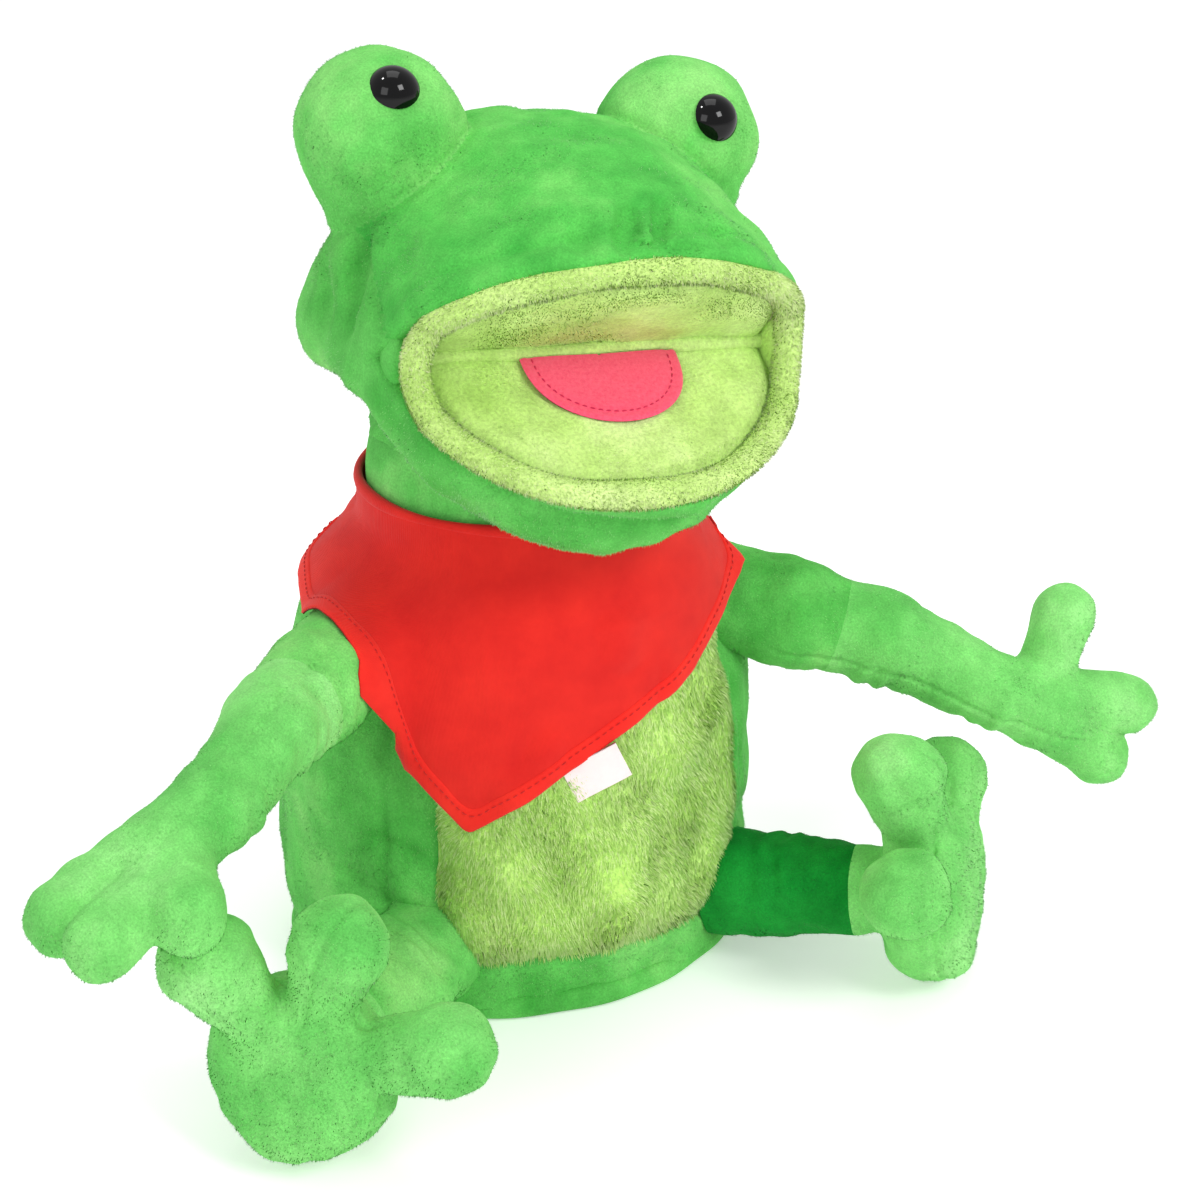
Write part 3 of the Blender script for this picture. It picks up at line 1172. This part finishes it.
def make_bandana_hem():
    """The turned and topstitched hem along the bandana's free edges, and its stitches."""
    grid = CLOTH.reshape(CLOTH_ROWS, CLOTH_COLUMNS, 3)
    out = CLOTH_NORMALS.reshape(CLOTH_ROWS, CLOTH_COLUMNS, 3)
    hanging = np.where(CLOTH_RUN > CLOTH_RUN.min() + 6)[0]
    edge = grid[-1]
    run = np.roll(edge, -3, 0) - np.roll(edge, 3, 0)
    flatness = length(run[:, :2]) / length(run)
    widths = 6.0 / np.clip(flatness, 0.55, 1)
    widths = np.convolve(np.pad(widths, 4, mode="wrap"), np.ones(9) / 9, mode="valid")
    depths = np.array([0.0, 0.0, 0.12, 0.3, 0.5, 0.7, 0.88, 0.97, 1.0])
    lifts = np.array([-0.3, 0.35, 0.6, 0.62, 0.6, 0.6, 0.5, 0.3, 0.02])
    rows, normals = [], []
    for depth, lift in zip(depths, lifts):
        place = (CLOTH_ROWS - 1) * (1 - depth * widths / np.maximum(CLOTH_RUN, 12.0))
        low = np.clip(place.astype(int), 0, CLOTH_ROWS - 2)
        share = (place - low)[:, None]
        column = np.arange(CLOTH_COLUMNS)
        normal = out[low, column] * (1 - share) + out[low + 1, column] * share
        row = grid[low, column] * (1 - share) + grid[low + 1, column] * share + lift * normal
        rows.append(row[hanging])
        normals.append(normal[hanging])
    rows, normals = np.array(rows), np.array(normals)
    faces = grid_faces(*rows.shape[:2])
    surface = turned_towards(rows.reshape(-1, 3), faces, normals.reshape(-1, 3))
    hem = shell_object("bandana_hem", surface, HEM_RED, 0.4)
    line, upward = rows[HEM_STITCH_ROW], normals[HEM_STITCH_ROW]
    along = np.gradient(line, axis=0)
    along /= length(along)[:, None]
    stitches = make_stitches("bandana_stitches", line, upward, along, 2.6, THREAD)
    return [settle(part, "torso", "red_cotton") for part in (hem, stitches)]


def make_stitches(name, line, normal, along, pitch, material):
    """A row of short raised stitches along a line."""
    span = np.concatenate([[0], np.cumsum(length(np.diff(line, axis=0)))])
    places = np.arange(pitch / 2, span[-1], pitch)
    centre = np.stack([np.interp(places, span, line[:, k]) for k in range(3)], -1)
    up = np.stack([np.interp(places, span, normal[:, k]) for k in range(3)], -1)
    run = np.stack([np.interp(places, span, along[:, k]) for k in range(3)], -1)
    up /= length(up)[:, None]
    run /= length(run)[:, None]
    side = np.cross(up, run)
    t = np.linspace(-1, 1, 7)
    turn = np.linspace(0, 2 * np.pi, 6, endpoint=False)
    body = []
    for share in t:
        radius = 0.22 * math.sqrt(max(1 - share**2, 0.02))
        middle = centre + run * share * pitch * 0.36 + up * (0.25 - 0.30 * share**2)
        ring = np.cos(turn)[:, None] * side[:, None] + np.sin(turn)[:, None] * up[:, None]
        body.append(middle[:, None] + radius * ring)
    body = np.stack(body, 1)
    count = len(centre)
    one = grid_faces(len(t), len(turn), wrap=True)
    faces = (one[None] + (np.arange(count) * len(t) * len(turn))[:, None, None]).reshape(-1, 4)
    return mesh_object(name, body.reshape(-1, 3), faces, [material])


def make_tag():
    """A blank satin loop sewn into the hem."""
    low, high = (np.array(corner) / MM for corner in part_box("bandana_tag"))
    centre = (low + high) / 2 + np.array([-1.0, 1.0, 2.6])
    tilt = math.radians(25.0)
    right = np.array([math.cos(tilt), -0.12, math.sin(tilt)])
    right /= np.linalg.norm(right)
    down = np.array([math.sin(tilt), 0.0, -math.cos(tilt)])
    out = np.cross(down, right)
    out *= np.sign(-out[1])
    u, v = np.meshgrid(np.linspace(-9.5, 9.5, 30), np.linspace(-7.0, 6.5, 22))
    curl = 0.9 * (v / 7) ** 2 + 0.5 * np.sin(u / 6)
    points = centre + u[..., None] * right + v[..., None] * down + curl[..., None] * out
    surface = turned_towards(points.reshape(-1, 3), grid_faces(*u.shape), out)
    settle(shell_object("bandana_tag_tape", surface, TAPE, 0.7), "torso", "tag_tape", "bandana_tag")


def knot_distance(p):
    low, high = (np.array(corner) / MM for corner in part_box("bandana_knot"))
    centre = np.array([0.0, (low[1] + high[1]) / 2 - 1.5, high[2] - 8.5])
    q = p - centre
    knot = egg(p, centre, np.array([10.0, 8.0, 8.5]))
    wrap = np.abs(q[:, 0] * 0.8 + q[:, 2] * 0.3)
    knot = knot + 1.1 * bell(wrap - 5.5, 1.3) + 0.35 * lumps(p, 9.0, 95)
    for side in (-1, 1):
        tip = centre + np.array([side * 27.0, 1.0, -14.0])
        tail = bar(p, centre, tip, 4.0, 7.0)
        thin = np.abs((p - centre) @ unit([0.0, 1.0, 0.25]) - 0.8 * np.sin((p - centre)[:, 0] / 5)) - 1.4
        tail = -join(-tail, -thin, 1.0)
        cut = (p - tip) @ unit([side, 0, -0.1]) + 3.0
        knot = join(knot, np.maximum(tail, cut), 2.5)
    return knot


def make_knot():
    surface = polygonise(knot_distance, (-42, 40, 118), (42, 72, 170), 1.2)
    piece = mesh_object("bandana_knot_cloth", surface[0], surface[2], [RED], surface[1])
    settle(piece, "torso", "red_cotton", "bandana_knot")


# ------------------------------------------------------------------ limbs
def ribs(p, centre, axis, facing, reach, pitch, depth):
    """Wrinkles across a limb on the side that faces some way."""
    along = (p - centre) @ axis
    side = step((p - centre) @ facing, -4.0, 12.0)
    uneven = along + 1.6 * lumps(p, 26.0, 121)
    return 0.7 * depth * bell(along, reach) * side * (0.5 + 0.5 * np.cos(2 * np.pi * uneven / pitch))


def limb_seam(p, start, end, facing, depth=0.8, width=1.1):
    """A seam groove along a limb, on its side that faces some way."""
    axis = unit(np.asarray(end, float) - start)
    across = unit(np.cross(axis, facing))
    q = p - start
    off = q @ across
    side = step(q @ facing, 0.0, 6.0)
    return depth * bell(off, width) * side


def arm_distance(p, side):
    shoulder, elbow, wrist = (PIVOT[f"{side}_{joint}"] for joint in ("shoulder", "elbow", "wrist"))
    middle = (np.array(FINGERS[side][0]) + FINGERS[side][1]) / 2
    palm = wrist + (middle - wrist) * 0.45
    shape = bar(p, SHOULDER_ROOTS[side], shoulder, 17.5, ARM_RADII[0])
    shape = join(shape, bar(p, shoulder, elbow, ARM_RADII[0], ARM_RADII[1]), 6.0)
    shape = join(shape, bar(p, elbow, wrist, ARM_RADII[1], ARM_RADII[2]), 6.0)
    hand = bar(p, wrist, palm, ARM_RADII[2], 13.5)
    fingers = [bar(p, palm + (np.array(tip) - middle) * 0.5, tip, 10.0, 10.5) for tip in FINGERS[side]]
    hand = join(hand, join(fingers[0], fingers[1], 2.0), 5.0)
    thumb = bar(p, wrist + (palm - wrist) * 0.6, THUMBS[side], 8.6, 10.8)
    hand = join(hand, thumb, 4.0)
    shape = join(shape, hand, 5.0)
    lower = np.array([0.0, 0.2, -1.0]) if side == "left" else unit([0.55, 0.0, -0.8])
    fore = unit(wrist - elbow)
    shape = shape + ribs(p, elbow, fore, lower, 15.0, 9.0, 2.0)
    shape = shape + ribs(p, wrist, fore, lower, 10.0, 8.0, 1.6)
    shape = shape + ribs(p, (shoulder + elbow) / 2, unit(elbow - shoulder), lower, 12.0, 8.0, 1.3)
    facing = unit([0.1, -0.9, -0.5]) if side == "left" else unit([-0.4, -0.7, 0.5])
    for start, end in ((shoulder, elbow), (elbow, wrist), (wrist, middle)):
        near = step(-length(p - (start + end) / 2), -32.0, -22.0)
        shape = shape + limb_seam(p, start, end, facing) * near
    return shape + 0.45 * lumps(p, 30.0, 101) + 0.2 * lumps(p, 11.0, 102)


def leg_distance(p, side):
    hip, ankle = PIVOT[f"{side}_hip"], PIVOT[f"{side}_ankle"]
    centre = np.array(FEET[side])
    facing_out = unit(centre - ankle)
    shape = bar(p, HIP_ROOTS[side], hip, 19.0, LEG_RADII[0] + 0.5)
    shape = join(shape, bar(p, hip, ankle, LEG_RADII[0], LEG_RADII[1]), 5.0)
    foot = pebble(p, centre, facing_out, PAD_RADIUS, PAD_THICK / 2, PAD_EDGE)
    toes = None
    for tip in TOES[side]:
        tip = np.array(tip)
        toe = bar(p, centre + (tip - centre) * 0.35, tip, TOE_RADII[0] - 1.5, TOE_RADII[1])
        toes = toe if toes is None else join(toes, toe, 2.5)
    foot = join(foot, toes, 3.5)
    shape = join(shape, foot, 5.0)
    for tip in TOES[side]:
        tip = np.array(tip)
        shape = shape + limb_seam(p, centre, tip, facing_out, 0.9, 1.2) * step(-ball(p, tip, 20), -14, 2)
    shape = shape + ribs(p, hip, unit(ankle - hip), np.array([0.0, -0.3, 0.9]), 14.0, 9.0, 1.6)
    shape = shape + 0.9 * bell((p - centre) @ facing_out - 5.0, 1.1) * step(-ball(p, centre, 32), -8, 0)
    return shape + 0.5 * lumps(p, 30.0, 111) + 0.22 * lumps(p, 11.0, 112)


def snap_to_plane(points, faces, beyond_plane, point, axis):
    """Slide the points between the faces of two sides onto the plane that parts them."""
    seam = np.intersect1d(faces[beyond_plane], faces[~beyond_plane])
    points[seam] -= ((points[seam] - point) @ axis)[:, None] * axis


def limb_pieces(distance, low, high, cuts, names, nodes, materials):
    """Polygonise a limb, cut it across at planes and set each piece on its joint."""
    points, normals, faces = polygonise(distance, low, high)
    centres = points[faces].mean(1)
    order = sum(((centres - point) @ axis > 0).astype(int) for point, axis in cuts)
    for point, axis in cuts:
        snap_to_plane(points, faces, (centres - point) @ axis > 0, point, axis)
    start_point, start_axis = cuts[0]
    shown = (centres - start_point) @ start_axis > 0
    for i, name in enumerate(names):
        surface = keep_faces(points, normals, faces, shown & (order == i + 1))
        piece = shell_object(name, surface, materials[i])
        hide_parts(*nodes[i])
        fibre_mix = {DEEP_GREEN: DEEP_FIBRES, LIMB_GREEN: LIMB_FIBRES}.get(materials[i], GREEN_FIBRES)
        fur = short_pile(f"{name}_pile", surface, cuts[0][1] + [0, 0, -0.3], 204 + i, fibre_mix)
        for part in (piece, fur):
            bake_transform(part)


def make_arm(side):
    root = np.array(SHOULDER_ROOTS[side])
    shoulder, elbow, wrist = (PIVOT[f"{side}_{joint}"] for joint in ("shoulder", "elbow", "wrist"))
    upper, fore = unit(elbow - shoulder), unit(wrist - elbow)
    mid_upper, mid_fore = (shoulder + elbow) / 2, (elbow + wrist) / 2
    tips = np.array([*FINGERS[side], THUMBS[side]])
    reach = np.vstack([tips, root[None], shoulder[None]])
    low, high = reach.min(0) - 22.0, reach.max(0) + 22.0
    cuts = [(root + (shoulder - root) * 0.1, unit(shoulder - root)), (mid_upper, upper), (mid_fore, fore)]
    covers = ["upper_arm", "forearm", "hand"]
    limb_pieces(
        lambda p: arm_distance(p, side), low, high, cuts,
        [f"{side}_{n}" for n in ("shoulder_plush", "elbow_plush", "hand_plush")],
        [[f"{side}_{n}_cover", f"{side}_{n}_stuffing"] for n in covers],
        [GREEN, LIMB_GREEN, LIMB_GREEN],
    )


def make_leg(side):
    root = np.array(HIP_ROOTS[side])
    hip, ankle, centre = PIVOT[f"{side}_hip"], PIVOT[f"{side}_ankle"], np.array(FEET[side])
    shin = unit(ankle - hip)
    reach = np.vstack([np.array(TOES[side]), root[None], centre[None]])
    low = np.minimum(reach.min(0) - 20.0, centre - 34.0)
    high = np.maximum(reach.max(0) + 20.0, centre + 34.0)
    cuts = [(root + (hip - root) * 0.1, unit(hip - root)), (hip + (ankle - hip) * 0.74, shin)]
    limb_pieces(
        lambda p: leg_distance(p, side), low, high, cuts,
        [f"{side}_leg_plush", f"{side}_foot_plush"],
        [[f"{side}_{n}_cover", f"{side}_{n}_stuffing"] for n in ("leg", "foot")],
        [DEEP_GREEN if side == "left" else GREEN, LIMB_GREEN],
    )


# ------------------------------------------------------------------ CAD nodes that stay
KEPT_NODES = {
    "right_eye": EYE_BLACK, "left_eye": EYE_BLACK, "right_eye_washer": WASHER, "left_eye_washer": WASHER,
}


def finish_kept_nodes():
    for name, material in KEPT_NODES.items():
        node = frame["nodes"][name]
        node.data.materials.clear()
        node.data.materials.append(material)


# ------------------------------------------------------------------ stage
def make_stage():
    material, _, shader = new_material("floor")
    shader.inputs["Base Color"].default_value = grey(0.9)
    shader.inputs["Roughness"].default_value = 0.9
    shader.inputs["Emission Color"].default_value = grey(1.0)
    shader.inputs["Emission Strength"].default_value = 0.30
    bpy.ops.mesh.primitive_plane_add(size=9.0, location=(0, 0, -0.0004))
    floor = bpy.context.object
    floor.name = "floor"
    floor.data.materials.append(material)


def area_light(name, place, power, size, target=(0.0, -0.03, 0.14)):
    data = bpy.data.lights.new(name, "AREA")
    data.energy = power
    data.size = size
    light = bpy.data.objects.new(name, data)
    bpy.context.scene.collection.objects.link(light)
    light.location = place
    light.rotation_euler = (Vector(target) - Vector(place)).to_track_quat("-Z", "Y").to_euler()
    return light


def make_lights():
    world = bpy.data.worlds.new("studio")
    world.use_nodes = True
    world.node_tree.nodes["Background"].inputs["Color"].default_value = grey(1.0)
    world.node_tree.nodes["Background"].inputs["Strength"].default_value = 0.70
    bpy.context.scene.world = world
    area_light("key", (0.5, -1.4, 1.3), 15.0, 0.6)
    area_light("fill", (-1.3, -0.9, 0.9), 6.0, 0.8)
    area_light("top", (0.1, 0.2, 1.7), 6.0, 0.9)
    catch = area_light("catch", (-0.67, 0.16, 1.41), 4.0, 0.12, target=(0.0, -0.03, 0.28))
    catch.visible_diffuse = False
    bpy.context.scene.view_settings.view_transform = "Standard"


make_head()
for palate, its_body in (("upper", "head"), ("lower", "jaw")):
    make_rim(palate, its_body)
    make_lining(palate, its_body)
    make_mouth_board(palate, its_body)
make_pocket("finger_pocket", "upper", "head", 38.0, -42.0, 34.0, 25.0)
make_pocket("thumb_pocket", "lower", "jaw", 19.0, 3.0, 32.0, 20.0)
for mouth_side, outward in (("right", -1), ("left", 1)):
    make_mouth_corner(mouth_side)
    inner = np.array([outward * (MOUTH_HALF - 6.5), FOLD[1] - 1.0, FOLD[2]])
    make_corner_pad(f"{mouth_side}_corner_lining", inner, (4.0, 9.5, 10.5), MOUTH, "mouth_plush")
    outer = np.array([outward * (MOUTH_HALF - 2.5), FOLD[1] + 4.0, FOLD[2]])
    make_corner_pad(f"{mouth_side}_corner_gusset", outer, (3.2, 7.0, 11.0), GREEN, "green_plush")
make_tongue()
make_mouth_fold()
make_neck()
make_torso()
make_hem()
make_bandana()
make_tag()
make_knot()
for limb_side in ("right", "left"):
    make_arm(limb_side)
    make_leg(limb_side)
finish_kept_nodes()
make_stage()
make_lights()
